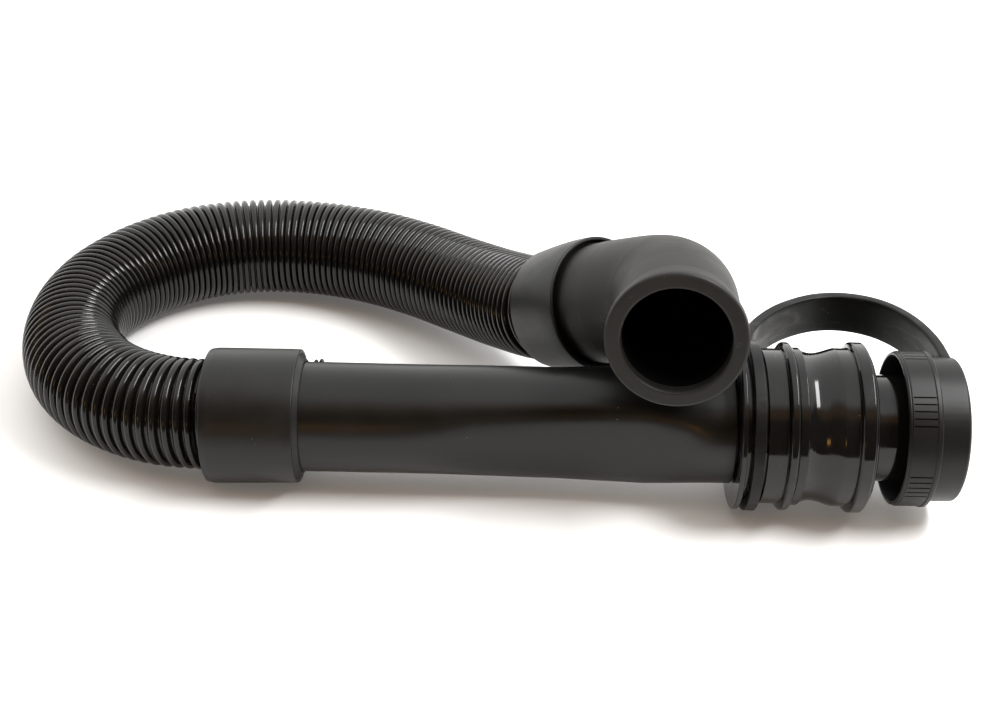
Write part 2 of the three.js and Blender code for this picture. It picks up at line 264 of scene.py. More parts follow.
def rounded(profile, closed=True, step=15):
    """A profile of (x, r, fillet) corners as (x, r) points with the corners rounded."""
    count = len(profile)
    out = []
    for i, (x, r, fillet) in enumerate(profile):
        here = Vector((x, r))
        if fillet <= 0 or (not closed and i in (0, count - 1)):
            out.append((x, r))
            continue
        before = Vector(profile[i - 1][:2]) - here
        after = Vector(profile[(i + 1) % count][:2]) - here
        if before.length < 1e-9 or after.length < 1e-9:
            out.append((x, r))
            continue
        angle = before.angle(after)
        turn = math.pi - angle
        if turn < math.radians(4):
            out.append((x, r))
            continue
        reach = min(fillet * math.tan(turn / 2), 0.48 * before.length, 0.48 * after.length)
        radius = reach / math.tan(turn / 2)
        start = here + before.normalized() * reach
        end = here + after.normalized() * reach
        middle = here + (before.normalized() + after.normalized()).normalized() * (
            radius / math.sin(angle / 2))
        segments = max(2, math.ceil(math.degrees(turn) / step))
        a = start - middle
        b = end - middle
        for k in range(segments + 1):
            t = k / segments
            spread = math.sin(turn)
            if spread < 1e-6:
                point = a.lerp(b, t)
            else:
                point = a * (math.sin((1 - t) * turn) / spread) + b * (math.sin(t * turn) / spread)
            out.append(tuple(middle + point))
    return out


def subdivided(profile, longest, closed=True):
    """The profile with its long straight stretches cut up."""
    out = []
    count = len(profile)
    for i in range(count if closed else count - 1):
        a = Vector(profile[i])
        b = Vector(profile[(i + 1) % count])
        parts = max(1, math.ceil((b - a).length / longest))
        out += [tuple(a.lerp(b, k / parts)) for k in range(parts)]
    if not closed:
        out.append(profile[-1])
    return out


def lathe(name, profile, place=ARM, sides=144, warp=None, longest=4 * MM, angles=None):
    """A closed (x, r, fillet) profile, or one that starts and ends on the axis, turned about X."""
    closed = profile[0][1] > 0
    if angles is None:
        angles = [2 * math.pi * j / sides for j in range(sides)]
    sides = len(angles)
    points = subdivided(rounded(profile, closed), longest, closed)
    vertices = []
    faces = []
    rows = []
    for x, r in points:
        if r < 1e-7:
            rows.append([len(vertices)])
            vertices.append(Vector((x, 0, 0)))
            continue
        row = []
        for angle in angles:
            spot = Vector((x, r * math.cos(angle), r * math.sin(angle)))
            if warp:
                spot = warp(spot, x, r, angle)
            row.append(len(vertices))
            vertices.append(spot)
        rows.append(row)
    pairs = list(zip(rows, rows[1:] + rows[:1])) if closed else list(zip(rows, rows[1:]))
    for row, following in pairs:
        for j in range(sides):
            k = (j + 1) % sides
            if len(row) == 1:
                faces.append((row[0], following[j], following[k]))
            elif len(following) == 1:
                faces.append((row[j], following[0], row[k]))
            else:
                faces.append((row[j], following[j], following[k], row[k]))
    return weigh_normals(new_object(name, [place @ v for v in vertices], faces))


def swept(name, path, stations, outer, inner, sides=96, warp=None):
    """A tube along a path, with its outer and inner radius given at each station."""
    s = np.array(stations)
    point, _, up, across, _ = path.sample(s)
    angles = np.arange(sides) * 2 * math.pi / sides
    vertices = []
    for radii in (outer, inner):
        for i in range(len(s)):
            for angle in angles:
                radius = radii[i]
                if warp and radii is outer:
                    radius = warp(s[i], angle, radius)
                ray = up[i] * math.cos(angle) + across[i] * math.sin(angle)
                vertices.append(Vector(point[i] + ray * radius))
    faces = []
    shift = len(s) * sides

    def vertex(wall, i, j):
        return wall * shift + i * sides + j % sides

    for i in range(len(s) - 1):
        for j in range(sides):
            faces.append([vertex(0, i, j), vertex(0, i + 1, j), vertex(0, i + 1, j + 1), vertex(0, i, j + 1)])
            faces.append([vertex(1, i, j), vertex(1, i, j + 1), vertex(1, i + 1, j + 1), vertex(1, i + 1, j)])
    for i in (0, len(s) - 1):
        for j in range(sides):
            faces.append([vertex(0, i, j), vertex(0, i, j + 1), vertex(1, i, j + 1), vertex(1, i, j)])
    return new_object(name, vertices, faces)


# ---------------------------------------------------------------- materials


class Nodes:
    """Small helper around one material's node tree."""

    def __init__(self, name, base_color, roughness, ior=1.365):
        self.material = bpy.data.materials.new(name)
        self.material.use_nodes = True
        self.tree = self.material.node_tree
        self.shader = self.tree.nodes["Principled BSDF"]
        self.shader.inputs["Base Color"].default_value = (*base_color, 1)
        self.shader.inputs["Roughness"].default_value = roughness
        self.shader.inputs["IOR"].default_value = ior
        self.place = self.tree.nodes.new("ShaderNodeTexCoord").outputs["Object"]

    def link(self, start, end):
        self.tree.links.new(start, end)

    def stretched(self, scale, turn=(0, 0, 0)):
        mapping = self.tree.nodes.new("ShaderNodeMapping")
        mapping.inputs["Scale"].default_value = scale
        mapping.inputs["Rotation"].default_value = turn
        self.link(self.place, mapping.inputs["Vector"])
        return mapping.outputs["Vector"]

    def noise(self, scale, detail=3.0, rough=0.5, vector=None, distortion=0.0):
        texture = self.tree.nodes.new("ShaderNodeTexNoise")
        texture.inputs["Scale"].default_value = scale
        texture.inputs["Detail"].default_value = detail
        texture.inputs["Roughness"].default_value = rough
        texture.inputs["Distortion"].default_value = distortion
        self.link(vector or self.place, texture.inputs["Vector"])
        return texture.outputs["Fac"]

    def specks(self, scale, size, randomness=1.0):
        """1 in small spots scattered at random, 0 elsewhere."""
        cells = self.tree.nodes.new("ShaderNodeTexVoronoi")
        cells.inputs["Scale"].default_value = scale
        cells.inputs["Randomness"].default_value = randomness
        self.link(self.place, cells.inputs["Vector"])
        spots = self.remap(cells.outputs["Distance"], size, 0.4 * size, 0, 1)
        rare = self.remap(self.noise(scale * 0.31, 1.0), 0.60, 0.66, 0, 1)
        return self.math("MULTIPLY", spots, rare)

    def remap(self, value, low, high, to_low, to_high, smooth=True):
        node = self.tree.nodes.new("ShaderNodeMapRange")
        node.interpolation_type = "SMOOTHSTEP" if smooth else "LINEAR"
        names = ("From Min", "From Max", "To Min", "To Max")
        for socket, number in zip(names, (low, high, to_low, to_high)):
            node.inputs[socket].default_value = number
        self.link(value, node.inputs["Value"])
        return node.outputs["Result"]

    def math(self, operation, a, b):
        node = self.tree.nodes.new("ShaderNodeMath")
        node.operation = operation
        for socket, value in zip(node.inputs, (a, b)):
            if isinstance(value, (int, float)):
                socket.default_value = value
            else:
                self.link(value, socket)
        return node.outputs[0]

    def mix_color(self, factor, dark, light):
        node = self.tree.nodes.new("ShaderNodeMix")
        node.data_type = "RGBA"
        self.link(factor, node.inputs["Factor"])
        for socket, color in ((node.inputs[6], dark), (node.inputs[7], light)):
            if isinstance(color, tuple):
                socket.default_value = (*color, 1)
            else:
                self.link(color, socket)
        return node.outputs[2]

    def color(self, output):
        self.link(output, self.shader.inputs["Base Color"])

    def roughness(self, output):
        self.link(output, self.shader.inputs["Roughness"])

    def bump(self, *layers):
        """Bump from (height, strength, distance) layers, the first one lowest."""
        normal = None
        for height, strength, distance in layers:
            node = self.tree.nodes.new("ShaderNodeBump")
            node.inputs["Strength"].default_value = strength
            node.inputs["Distance"].default_value = distance
            self.link(height, node.inputs["Height"])
            if normal:
                self.link(normal, node.inputs["Normal"])
            normal = node.outputs["Normal"]
        self.link(normal, self.shader.inputs["Normal"])


def hose_pvc():
    """Glossy extruded PVC: clean crests, a little dust in the grooves."""
    m = Nodes("hose_pvc", (0.005, 0.0045, 0.004), 0.2)
    cloud = m.noise(38, 4)
    fine = m.noise(900, 2)
    m.color(m.mix_color(m.specks(420, 0.16), m.mix_color(cloud, (0.0035, 0.003, 0.0026),
            (0.0075, 0.0066, 0.0058)), (0.06, 0.055, 0.05)))
    m.roughness(m.remap(cloud, 0.3, 0.7, 0.10, 0.19))
    m.bump((fine, 0.05, 0.1 * MM), (m.noise(140, 2), 0.12, 0.25 * MM))
    return m.material


def satin_rubber(name, base, rough_low, rough_high, grain):
    """Moulded soft rubber: cloudy bloom, fine scratches along the arm, dust."""
    m = Nodes(name, base, rough_low)
    cloud = m.noise(24, 5, 0.6)
    streak = m.noise(160, 3, 0.6, m.stretched((0.06, 1, 1)))
    dust = m.specks(260, 0.10)
    lighter = tuple(1.9 * c for c in base)
    m.color(m.mix_color(dust, m.mix_color(m.remap(cloud, 0.35, 0.75, 0, 1), base, lighter),
            (0.10, 0.095, 0.085)))
    both = m.math("ADD", m.math("MULTIPLY", cloud, 0.65), m.math("MULTIPLY", streak, 0.35))
    m.roughness(m.remap(both, 0.3, 0.7, rough_low, rough_high))
    m.bump((cloud, 0.25, 0.5 * MM), (m.noise(grain, 3, 0.65), 0.16, 0.12 * MM), (dust, 0.3, 0.1 * MM))
    return m.material


def gloss_plastic():
    """Injection-moulded plastic with a high gloss, faint turning marks and specks."""
    m = Nodes("outlet_plastic", (0.004, 0.004, 0.0042), 0.09)
    wear = m.noise(60, 5, 0.6)
    marks = m.noise(420, 2, 0.5, m.stretched((3.0, 0.12, 0.12)))
    dust = m.specks(300, 0.09)
    m.color(m.mix_color(dust, m.mix_color(wear, (0.003, 0.003, 0.003), (0.0065, 0.0062, 0.006)),
            (0.12, 0.115, 0.105)))
    m.roughness(m.remap(wear, 0.35, 0.72, 0.07, 0.17))
    m.bump((wear, 0.06, 0.3 * MM), (marks, 0.05, 0.05 * MM), (dust, 0.35, 0.08 * MM))
    return m.material


def tether_plastic():
    """Flexible moulding with pale flow streaks that run along the band."""
    m = Nodes("tether_plastic", (0.006, 0.006, 0.006), 0.42)
    flow = m.noise(34, 5, 0.62, m.stretched((1.0, 1.0, 3.2), (0.3, 0.0, 0.4)), 1.6)
    scratches = m.noise(240, 2, 0.5, m.stretched((0.2, 0.2, 1.0)))
    pale = m.remap(flow, 0.52, 0.72, 0, 1)
    m.color(m.mix_color(m.specks(330, 0.12), m.mix_color(pale, (0.004, 0.0039, 0.0038),
            (0.017, 0.0165, 0.016)), (0.11, 0.10, 0.09)))
    m.roughness(m.remap(flow, 0.3, 0.7, 0.50, 0.36))
    m.bump((flow, 0.1, 0.3 * MM), (scratches, 0.1, 0.08 * MM))
    m.shader.inputs["Specular IOR Level"].default_value = 0.28
    return m.material


def cap_plastic():
    """Satin moulding with a fine spark-eroded grain."""
    m = Nodes("cap_plastic", (0.010, 0.0097, 0.0095), 0.4)
    cloud = m.noise(30, 4, 0.55)
    grain = m.noise(1500, 2, 0.6)
    m.color(m.mix_color(m.specks(340, 0.10), m.mix_color(cloud, (0.0035, 0.0034, 0.0033),
            (0.0075, 0.0073, 0.007)), (0.11, 0.10, 0.09)))
    m.roughness(m.remap(cloud, 0.3, 0.7, 0.36, 0.48))
    m.bump((grain, 0.12, 0.06 * MM), (cloud, 0.12, 0.3 * MM))
    m.shader.inputs["Specular IOR Level"].default_value = 0.36
    return m.material


def matt_rubber(name, base, rough_low, rough_high):
    """Thick rubber with a fine pebbled skin and a dry, slightly brown bloom."""
    m = Nodes(name, base, rough_low)
    bloom = m.noise(20, 5, 0.62)
    pebble = m.noise(1150, 3, 0.62)
    pits = m.noise(420, 2, 0.5)
    lighter = (base[0] * 1.8, base[1] * 1.72, base[2] * 1.6)
    m.color(m.mix_color(m.specks(520, 0.14), m.mix_color(m.remap(bloom, 0.3, 0.75, 0, 1), base, lighter),
            (0.13, 0.12, 0.105)))
    m.roughness(m.remap(bloom, 0.3, 0.7, rough_low, rough_high))
    m.bump((pits, 0.22, 0.2 * MM), (pebble, 0.42, 0.11 * MM))
    return m.material


def plain_ferrule():
    m = Nodes("ferrule_plastic", (0.03, 0.03, 0.03), 0.5)
    grain = m.noise(500, 3)
    m.roughness(m.remap(grain, 0.3, 0.7, 0.42, 0.58))
    m.bump((grain, 0.15, 0.1 * MM))
    return m.material


def floor_paint():
    m = Nodes("studio_floor", (0.92, 0.92, 0.915), 0.6)
    grain = m.noise(4, 3)
    m.color(m.mix_color(grain, (0.925, 0.924, 0.92), (0.915, 0.914, 0.91)))
    m.shader.inputs["Specular IOR Level"].default_value = 0.2
    m.shader.inputs["Emission Color"].default_value = (1, 0.97, 0.93, 1)
    m.shader.inputs["Emission Strength"].default_value = 0.06
    return m.material


def bore_painted_shade():
    """Painted shade deep inside the elbow: near-black, dull rubber that barely reflects, so the bore looks
    shaded.
    """
    m = Nodes("bore_painted_shade", (0.001, 0.001, 0.001), 0.85)
    m.color(m.mix_color(m.noise(60, 3), (0.0008, 0.0008, 0.0008), (0.002, 0.0019, 0.0018)))
    m.shader.inputs["Specular IOR Level"].default_value = 0.08
    return m.material


MATERIALS = {
    # The bore's material is painted shade: near-black and barely reflecting.
    "bore_painted_shade": bore_painted_shade(),
    "hose_pvc": hose_pvc(),
    "cuff_rubber": satin_rubber("cuff_rubber", (0.0042, 0.004, 0.0038), 0.33, 0.46, 700),
    "tube_rubber": satin_rubber("tube_rubber", (0.0032, 0.0031, 0.003), 0.28, 0.38, 900),
    "outlet_plastic": gloss_plastic(),
    "tether_plastic": tether_plastic(),
    "cap_plastic": cap_plastic(),
    "ferrule_plastic": plain_ferrule(),
    "gasket_rubber": matt_rubber("gasket_rubber", (0.012, 0.0115, 0.011), 0.6, 0.75),
    "elbow_rubber": matt_rubber("elbow_rubber", (0.0075, 0.0071, 0.0064), 0.46, 0.6),
}


def finish_piece(piece, slot, body, *nodes):
    """Material, body and the CAD nodes that the piece stands for."""
    piece.data.materials.append(MATERIALS[slot])
    if body:
        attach(piece, body)
    if nodes:
        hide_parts(*nodes)
    return piece


# ---------------------------------------------------------------- camera, floor and light

CAMERA_ELEVATION = math.radians(32)
CAMERA_ROLL = math.radians(2.65)
CAMERA_PLACE = Vector((0.0142, -0.6007, 0.3930))
CAMERA_LENS = 54
SENSOR_WIDTH = 36
FLOOR_REACH = 6.0
FLOOR_FRONT = -0.37
EXPOSURE_STOPS = 0.68


def make_camera():
    camera = bpy.data.objects.new("camera", bpy.data.cameras.new("camera"))
    camera.data.lens = CAMERA_LENS
    camera.data.sensor_width = SENSOR_WIDTH
    tilt = Matrix.Rotation(math.pi / 2 - CAMERA_ELEVATION, 4, "X")
    roll = Matrix.Rotation(CAMERA_ROLL, 4, "Z")
    camera.matrix_world = Matrix.Translation(CAMERA_PLACE) @ tilt @ roll
    camera.data.clip_start = 0.01
    bpy.context.scene.collection.objects.link(camera)
    bpy.context.scene.camera = camera


def make_floor():
    """A plain floor that ends in front of the object, like a table's edge."""
    corners = [(-FLOOR_REACH, FLOOR_FRONT, 0), (FLOOR_REACH, FLOOR_FRONT, 0),
               (FLOOR_REACH, FLOOR_REACH, 0), (-FLOOR_REACH, FLOOR_REACH, 0)]
    floor = new_object("studio_floor", corners, [(0, 1, 2, 3)])
    floor.data.materials.append(floor_paint())


def area_light(name, place, target, size, power):
    light = bpy.data.lights.new(name, "AREA")
    light.shape = "RECTANGLE"
    light.size, light.size_y = size
    light.energy = power
    lamp = bpy.data.objects.new(name, light)
    direction = Vector(target) - Vector(place)
    lamp.rotation_euler = direction.to_track_quat("-Z", "Y").to_euler()
    lamp.location = place
    bpy.context.scene.collection.objects.link(lamp)


LAMP_DIRECTION = Vector((-0.19, -0.96, 0.184)).normalized()
ROOM_BROWN = (0.06, 0.042, 0.026)
FRINGE_BROWN = (0.42, 0.24, 0.11)
LAMP_AMBER = (5.0, 2.6, 0.6)
SWEEP_WHITE = (1.1, 1.1, 1.09)
BACKDROP_WHITE = (1.0, 1.0, 0.99)


def make_world():
    """White behind and above, and in front a dark brown room with one warm lamp. The room is
    only mirrored: wherever the backdrop itself is seen, it is plain white.
    """
    world = bpy.data.worlds.new("studio")
    bpy.context.scene.world = world
    world.use_nodes = True
    tree = world.node_tree
    tree.nodes.clear()
    make = tree.nodes.new
    link = tree.links.new

    def ranged(value, low, high, to_low=0.0, to_high=1.0):
        node = make("ShaderNodeMapRange")
        node.interpolation_type = "SMOOTHSTEP"
        for socket, number in zip(("From Min", "From Max", "To Min", "To Max"), (low, high, to_low, to_high)):
            node.inputs[socket].default_value = number
        link(value, node.inputs["Value"])
        return node.outputs["Result"]

    def product(a, b):
        node = make("ShaderNodeMath")
        node.operation = "MULTIPLY"
        link(a, node.inputs[0])
        link(b, node.inputs[1])
        return node.outputs[0]

    def blend(factor, a, b):
        node = make("ShaderNodeMix")
        node.data_type = "RGBA"
        link(factor, node.inputs["Factor"])
        for socket, color in ((node.inputs[6], a), (node.inputs[7], b)):
            if isinstance(color, tuple):
                socket.default_value = (*color, 1)
            else:
                link(color, socket)
        return node.outputs[2]

    direction = make("ShaderNodeTexCoord").outputs["Generated"]
    split = make("ShaderNodeSeparateXYZ")
    link(direction, split.inputs[0])
    y, z = split.outputs[1:]
    in_front = ranged(y, -0.05, -0.30)
    below_lights = ranged(z, 0.93, 0.80)
    room = product(in_front, below_lights)
    facing = make("ShaderNodeVectorMath")
    facing.operation = "DOT_PRODUCT"
    link(direction, facing.inputs[0])
    facing.inputs[1].default_value = LAMP_DIRECTION
    lamp = ranged(facing.outputs["Value"], 0.9955, 0.9995)
    fringe = product(ranged(z, 0.60, 0.78), ranged(z, 0.92, 0.80))
    brown = blend(fringe, ROOM_BROWN, FRINGE_BROWN)
    brown = blend(lamp, brown, LAMP_AMBER)
    surround = blend(room, SWEEP_WHITE, brown)
    camera_ray = make("ShaderNodeLightPath").outputs["Is Camera Ray"]
    shown = blend(camera_ray, surround, BACKDROP_WHITE)
    background = make("ShaderNodeBackground")
    link(shown, background.inputs["Color"])
    output = make("ShaderNodeOutputWorld")
    link(background.outputs[0], output.inputs["Surface"])


SOFTBOX_PLACE = (0.65, -0.1, 1.0)
SOFTBOX_SIZE = (0.3, 0.8)
SOFTBOX_POWER = 12.06


def make_lights():
    """The world, and a softbox high on the right, which the ribs and the waist mirror as white streaks."""
    make_world()
    below = (SOFTBOX_PLACE[0], SOFTBOX_PLACE[1], 0.0)
    area_light("overhead_strip", SOFTBOX_PLACE, below, SOFTBOX_SIZE, SOFTBOX_POWER)


# ---------------------------------------------------------------- the hose


def hose_path():
    points = [Vector(p) + ROUTE_SHIFT for p in HOSE_ROUTE]
    points.insert(0, points[0] + ARM_AXIS * FERRULE_LENGTH)
    points += [REAR_CUFF_START + REAR_AXIS * reach for reach in (-REAR_LEAD, 0, FERRULE_LENGTH)]
    return Path(catmull_rom(points, 24))


def smooth_step(low, high, value):
    t = np.clip((value - low) / (high - low), 0, 1)
    return t * t * (3 - 2 * t)


def rib_centres(path, margin):
    """Where each turn of the helix starts. The hose is pulled out more at its front than at its back."""
    centres = [margin]
    while True:
        s = centres[-1]
        share = float(smooth_step(110 * MM, 260 * MM, s))
        pitch = RIB_PITCH_FRONT + (RIB_PITCH_BACK - RIB_PITCH_FRONT) * share
        pitch *= 1 + RANDOM.uniform(-0.025, 0.025)
        if s + pitch > path.length - margin:
            return np.array(centres)
        centres.append(s + pitch)


def hose_radius(s, ray, bend):
    """Crest radius: a little fuller along the back, a little flatter inside the tight bend."""
    fuller = BACK_FULLNESS * smooth_step(170 * MM, 230 * MM, s) * (1 - smooth_step(320 * MM, 380 * MM, s))
    fuller = fuller * smooth_step(-0.95, -0.3, ray[..., 2])
    curvature = np.linalg.norm(bend, axis=-1, keepdims=True)
    inward = (ray * bend / np.maximum(curvature, 1e-6)).sum(-1)
    tight = smooth_step(90 * MM, 125 * MM, s) * (1 - smooth_step(150 * MM, 190 * MM, s))
    return HOSE_RADIUS + fuller - INNER_FLATTENING * tight * np.clip(inward, 0, 1) ** 2


def hose_point(path, s, angles, radius_drop):
    point, _, up, side, bend = path.sample(s)
    ray = up * np.cos(angles)[:, None] + side * np.sin(angles)[:, None]
    crest = hose_radius(s, ray, bend)
    return point + ray * (crest - radius_drop)[:, None], (bend * ray).sum(-1)


def make_hose():
    """Helical ribs on a thin wall. The grid follows the helix, so every rib keeps its round crest."""
    path = hose_path()
    sides = HOSE_SIDES
    crest_rows = 9
    rows = crest_rows + 2
    margin = 1.0 * MM
    starts = rib_centres(path, margin)
    turns = len(starts) - 2
    across = np.arange(sides) / sides
    angles = across * 2 * math.pi
    vertices = []
    for turn in range(turns):
        first, second, third = starts[turn:turn + 3]
        begin = first + (second - first) * across
        finish = second + (third - second) * across
        centre = (begin + finish) / 2
        pitch = finish - begin
        curve = hose_point(path, centre, angles, 0 * centre)[1]
        stretch = np.maximum(1 - HOSE_RADIUS * curve, 0.3)
        width = np.minimum(RIB_WIDTH / stretch, 0.9 * pitch)
        for k in range(crest_rows):
            phase = math.pi * k / (crest_rows - 1)
            s = centre - width / 2 * math.cos(phase)
            drop = CREST_DROP * (1 - math.sin(phase)) + 0 * s
            vertices.append(hose_point(path, s, angles, drop)[0])
        gap = (pitch - width) / 2
        for s in (centre + width / 2 + 0.3 * gap, finish + 0.7 * gap):
            vertices.append(hose_point(path, s, angles, GROOVE_DEPTH + 0 * s)[0])
    outer_count = len(vertices)
    for turn in range(turns + 1):
        s = starts[turn] + (starts[turn + 1] - starts[turn]) * across
        point, _, up, side, _ = path.sample(s)
        ray = up * np.cos(angles)[:, None] + side * np.sin(angles)[:, None]
        vertices.append(point + ray * (HOSE_BORE + 0.2 * MM))
    flat = np.concatenate(vertices)

    def outer(row, j):
        return (row + rows * (j // sides)) * sides + j % sides

    def inner(row, j):
        return (outer_count + row + j // sides) * sides + j % sides

    last_row = turns * rows - 1
    faces = []
    for row in range(last_row):
        for j in range(sides):
            if j < sides - 1 or row + 1 + rows <= last_row:
                faces.append((outer(row, j), outer(row + 1, j), outer(row + 1, j + 1), outer(row, j + 1)))
    for row in range(turns):
        for j in range(sides):
            if j < sides - 1 or row + 2 <= turns:
                faces.append((inner(row, j), inner(row, j + 1), inner(row + 1, j + 1), inner(row + 1, j)))
    # Each open end is one helical turn of wall and then a step of one pitch.
    for j in range(sides - 1):
        faces.append((outer(0, j), outer(0, j + 1), inner(0, j + 1), inner(0, j)))
        faces.append((outer(last_row, j), inner(turns, j), inner(turns, j + 1), outer(last_row, j + 1)))
    start_step = [outer(0, sides - 1)] + [outer(row, 0) for row in range(rows, -1, -1)]
    faces.append(tuple(start_step + [inner(0, 0), inner(1, 0), inner(0, sides - 1)]))
    end_rows = range(last_row - rows, last_row + 1)
    end_step = [outer(last_row, 0)] + [outer(row, sides - 1) for row in reversed(end_rows)]
    faces.append(tuple(end_step[:0:-1] + [end_step[0]] + [inner(turns, 0), inner(turns, sides - 1),
                 inner(turns - 1, sides - 1)]))
    hose = new_object("hose", flat, faces, 80)
    finish_piece(hose, "hose_pvc", None, "corrugated_hose")
    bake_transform(hose)
    s = np.linspace(FERRULE_LENGTH, path.length - FERRULE_LENGTH, 60)
    centreline = path.sample(s)[0]
    return hose


# ---------------------------------------------------------------- the arm's turned pieces


def uneven(strength, scale, seed=0.0):
    """A warp that makes a hand-trimmed rubber piece slightly uneven."""
    def warp(spot, x, r, angle):
        here = Vector((x * scale, math.cos(angle) * r * scale, math.sin(angle) * r * scale + seed))
        push = 1 + strength * noise.noise(here) / r
        return Vector((spot.x, spot.y * push, spot.z * push))
    return warp


def make_front_cuff():
    end = CUFF_START + CUFF_LENGTH
    hose_stop = CUFF_START + FERRULE_LENGTH + 1 * MM
    tube_stop = hose_stop + 4 * MM
    socket = TUBE_RADIUS + GAP
    cuff = lathe("front_cuff_rubber", [
        (CUFF_START, CUFF_SOCKET_RADIUS, 0.2 * MM),
        (CUFF_START, CUFF_RADIUS - 0.5 * MM, 0.8 * MM),
        (CUFF_START + 3 * MM, CUFF_RADIUS, 4 * MM),
        (end - 4 * MM, CUFF_RADIUS - 0.25 * MM, 8 * MM),
        (end, CUFF_RADIUS - 0.45 * MM, 0.8 * MM),
        (end, socket + 3.6 * MM, 0.3 * MM),
        (end - 1.0 * MM, socket + 3.3 * MM, 0.2 * MM),
        (end - 0.6 * MM, socket + 2.6 * MM, 0.8 * MM),
        (end + 1.9 * MM, socket + 0.5 * MM, 0.7 * MM),
        (end + 2.0 * MM, socket, 0.1 * MM),
        (tube_stop, socket, 0),
        (tube_stop, HOSE_BORE, 0.3 * MM),
        (hose_stop, HOSE_BORE, 0.3 * MM),
        (hose_stop, CUFF_SOCKET_RADIUS, 0),
    ], warp=uneven(0.45 * MM, 38), longest=2 * MM)
    return finish_piece(cuff, "cuff_rubber", "root", "front_cuff")


def make_ferrule(name, place, body, node):
    """Threaded sleeve: a plain bore with shallow thread crests outside."""
    inner = HOSE_RADIUS + 0.35 * MM
    outer = HOSE_RADIUS + 1.7 * MM
    profile = [(0.3 * MM, inner, 0)]
    crests = 4
    for i in range(crests):
        x = (1.2 + i * 3.8) * MM
        profile += [(x, outer - 0.5 * MM, 0.2 * MM), (x + 0.9 * MM, outer, 0.3 * MM),
                    (x + 1.9 * MM, outer, 0.3 * MM), (x + 2.8 * MM, outer - 0.5 * MM, 0.2 * MM)]
    profile += [(FERRULE_LENGTH, outer - 0.5 * MM, 0.2 * MM), (FERRULE_LENGTH, inner, 0)]
    ferrule = lathe(name, profile, place, sides=72)
    return finish_piece(ferrule, "ferrule_plastic", body, node)


FLATTENED = 4.8 * MM
SQUARENESS = 8
RIPPLE = 0.16 * MM


def squeezed(spot, x, r, _angle):
    """The soft tube's front is flattened beside the elbow, most of all just left of the mouth."""
    rise = float(smooth_step(-50 * MM, 50 * MM, x) * (1 - smooth_step(58 * MM, 92 * MM, x)))
    y = spot.y
    if y < 0:
        limit = r - FLATTENED * rise
        y = limit * y / ((-y) ** SQUARENESS + limit ** SQUARENESS) ** (1 / SQUARENESS)
        y = spot.y + (y - spot.y) * min(1, rise * 3)
    z = spot.z * (1 + 0.03 * rise) - 0.6 * MM * rise
    ripple = RIPPLE * noise.noise(Vector((x * 30, spot.y * 45, spot.z * 45)))
    return Vector((x, y * (1 + ripple / r), z * (1 + ripple / r)))


def make_squeeze_tube():
    start = CUFF_START + FERRULE_LENGTH + 5.3 * MM
    end_inner = TUBE_END_RADIUS - TUBE_WALL
    tube = lathe("squeeze_tube_rubber", [
        (start, TUBE_RADIUS - TUBE_WALL, 0),
        (start, TUBE_RADIUS, 0.3 * MM),
        (-40 * MM, TUBE_RADIUS - 0.1 * MM, 60 * MM),
        (25 * MM, TUBE_RADIUS - 0.1 * MM, 60 * MM),
        (62 * MM, TUBE_END_RADIUS - 0.25 * MM, 80 * MM),
        (TUBE_END, TUBE_END_RADIUS, 0.5 * MM),
        (TUBE_END, end_inner, 0.3 * MM),
        (76 * MM, end_inner, 6 * MM),
        (30 * MM, TUBE_RADIUS - TUBE_WALL, 30 * MM),
    ], warp=squeezed, longest=2.5 * MM)
    make_flash()
    return finish_piece(tube, "tube_rubber", "root", "squeeze_tube")


FLASH_BLOBS = ((-77.3 * MM, 1.1 * MM), (-74.9 * MM, 1.5 * MM))
FLASH_LEAN = math.radians(29)


def make_flash():
    """Two small blobs of moulding flash on the tube's upper back, by the cuff: (place, size) each."""
    for index, (x, size) in enumerate(FLASH_BLOBS):
        top = ARM @ Vector((x, TUBE_RADIUS * math.sin(FLASH_LEAN), TUBE_RADIUS * math.cos(FLASH_LEAN)))
        blob = lathe(f"moulding_flash_{index}", [
            (-1.2 * size, 0, 0),
            (-1.1 * size, 0.9 * size, 0.4 * size),
            (0.2 * size, 0.8 * size, 0.5 * size),
            (0.9 * size, 0.35 * size, 0.3 * size),
            (1.0 * size, 0, 0),
        ], frame_at(top, Vector((0.15, 0.45, 1))), sides=24, warp=uneven(0.3 * MM, 900, index))
        finish_piece(blob, "tube_rubber", "root")


def bead(middle, half_width, foot, crest, fillet=0.35 * MM):
    """Corners over a flat-sided bead with a round crest."""
    return [
        (middle - half_width - 0.25 * MM, foot, fillet),
        (middle - half_width + 0.1 * MM, crest - 0.9 * MM, fillet),
        (middle - half_width + 0.8 * MM, crest, 0.9 * MM),
        (middle + half_width - 0.8 * MM, crest, 0.9 * MM),
        (middle + half_width - 0.1 * MM, crest - 0.9 * MM, fillet),
        (middle + half_width + 0.25 * MM, foot, fillet),
    ]


def waist_corners(start, end, start_radius, end_radius, depth, count=10):
    """The concave waist, deepest a little before its middle, as smooth corners."""
    corners = []
    for i in range(count + 1):
        t = i / count
        dip = depth * math.sin(math.pi * t ** 0.8) ** 1.25
        corners.append((start + t * (end - start), start_radius + t * (end_radius - start_radius) - dip,
                        3 * MM if 0 < i < count else 0.25 * MM))
    return corners


